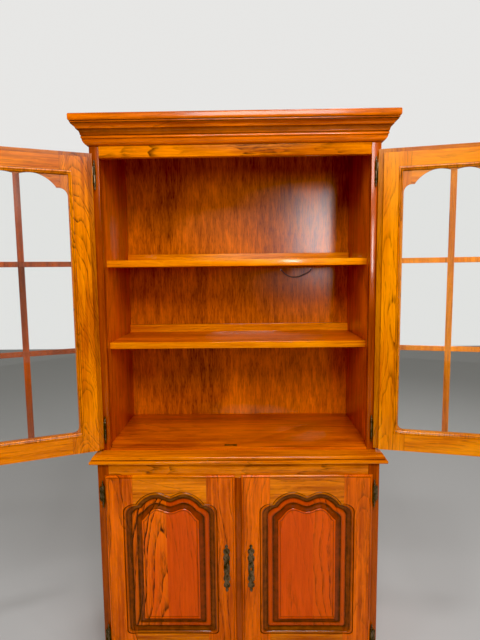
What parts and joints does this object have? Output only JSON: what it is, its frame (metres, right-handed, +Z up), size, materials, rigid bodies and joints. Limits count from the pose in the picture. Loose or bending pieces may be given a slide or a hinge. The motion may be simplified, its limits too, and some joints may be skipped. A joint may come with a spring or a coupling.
{
  "type": "china cabinet",
  "caption": "Two-piece oak china cabinet: an open-fronted hutch with shelves and hinged glass doors on a base cupboard with arched raised-panel doors.",
  "frame": {"origin": "on the floor, midway between the sides, in the plane of the rear edges that stands against the wall", "axes": "+Z up, +X to the right of someone facing the cabinet, the front faces -Y"},
  "size_m": [1.8814, 0.6119, 2.023],
  "materials": {
    "honey_oak": "gloss lacquered oak, honey orange, dark glaze in the grooves",
    "back_veneer": "satin lacquered oak veneer, vertical mottled figure",
    "panel_oak": "gloss lacquered oak, redder than the frames",
    "antique_brass": "aged brass, dark in the recesses and rubbed bright on the edges",
    "clear_glass": "clear float glass",
    "flex_sheath": "dark sheathed flex"
  },
  "bodies": {
    "carcass": {"base_side_left": "honey_oak", "base_stile_left": "honey_oak", "base_side_right": "honey_oak", "base_stile_right": "honey_oak", "base_top_rail": "honey_oak", "base_centre_stile": "honey_oak", "base_apron": "honey_oak", "base_back": "honey_oak", "base_floor": "honey_oak", "base_shelf": "honey_oak", "buffet_top": "honey_oak", "hutch_side_left": "honey_oak", "hutch_stile_left": "honey_oak", "hutch_side_right": "honey_oak", "hutch_stile_right": "honey_oak", "hutch_frieze_rail": "honey_oak", "hutch_floor": "honey_oak", "hutch_shelf_lower": "honey_oak", "hutch_shelf_upper": "honey_oak", "crown_cap": "honey_oak", "crown_moulding": "honey_oak", "hutch_back": "back_veneer", "light_flex": "flex_sheath", "bolt_strike": "antique_brass", "glass_hinge_left_lower_fixed": "antique_brass", "glass_hinge_left_upper_fixed": "antique_brass", "panel_hinge_left_lower_fixed": "antique_brass", "panel_hinge_left_upper_fixed": "antique_brass", "glass_hinge_right_lower_fixed": "antique_brass", "glass_hinge_right_upper_fixed": "antique_brass", "panel_hinge_right_lower_fixed": "antique_brass", "panel_hinge_right_upper_fixed": "antique_brass"},
    "glass_door_left": {"glass_door_left_hinge_stile": "honey_oak", "glass_door_left_lock_stile": "honey_oak", "glass_door_left_bottom_rail": "honey_oak", "glass_door_left_top_rail": "honey_oak", "glass_door_left_grille": "honey_oak", "glass_door_left_glass": "clear_glass", "glass_door_left_escutcheon": "antique_brass", "glass_hinge_left_lower_moving": "antique_brass", "glass_hinge_left_upper_moving": "antique_brass"},
    "panel_door_left": {"panel_door_left_frame": "honey_oak", "panel_door_left_panel": "panel_oak", "panel_door_left_escutcheon": "antique_brass", "panel_hinge_left_lower_moving": "antique_brass", "panel_hinge_left_upper_moving": "antique_brass"},
    "glass_door_right": {"glass_door_right_hinge_stile": "honey_oak", "glass_door_right_lock_stile": "honey_oak", "glass_door_right_bottom_rail": "honey_oak", "glass_door_right_top_rail": "honey_oak", "glass_door_right_grille": "honey_oak", "glass_door_right_glass": "clear_glass", "glass_door_right_escutcheon": "antique_brass", "glass_hinge_right_lower_moving": "antique_brass", "glass_hinge_right_upper_moving": "antique_brass"},
    "panel_door_right": {"panel_door_right_frame": "honey_oak", "panel_door_right_panel": "panel_oak", "panel_door_right_escutcheon": "antique_brass", "panel_hinge_right_lower_moving": "antique_brass", "panel_hinge_right_upper_moving": "antique_brass"}
  },
  "joints": [
    {"name": "glass_door_left_hinge", "type": "hinge", "parent": "carcass", "child": "glass_door_left", "pos_m": [-0.482, -0.4155, 1.3805], "axis": [0, 0, -1], "range_deg": [-157.7, 14.3]},
    {"name": "panel_door_left_hinge", "type": "hinge", "parent": "carcass", "child": "panel_door_left", "pos_m": [-0.482, -0.4705, 0.437], "axis": [0, 0, -1], "range_deg": [0, 172]},
    {"name": "glass_door_right_hinge", "type": "hinge", "parent": "carcass", "child": "glass_door_right", "pos_m": [0.482, -0.4155, 1.3805], "axis": [0, 0, 1], "range_deg": [-167.6, 4.4]},
    {"name": "panel_door_right_hinge", "type": "hinge", "parent": "carcass", "child": "panel_door_right", "pos_m": [0.482, -0.4705, 0.437], "axis": [0, 0, 1], "range_deg": [0, 172]}
  ]
}
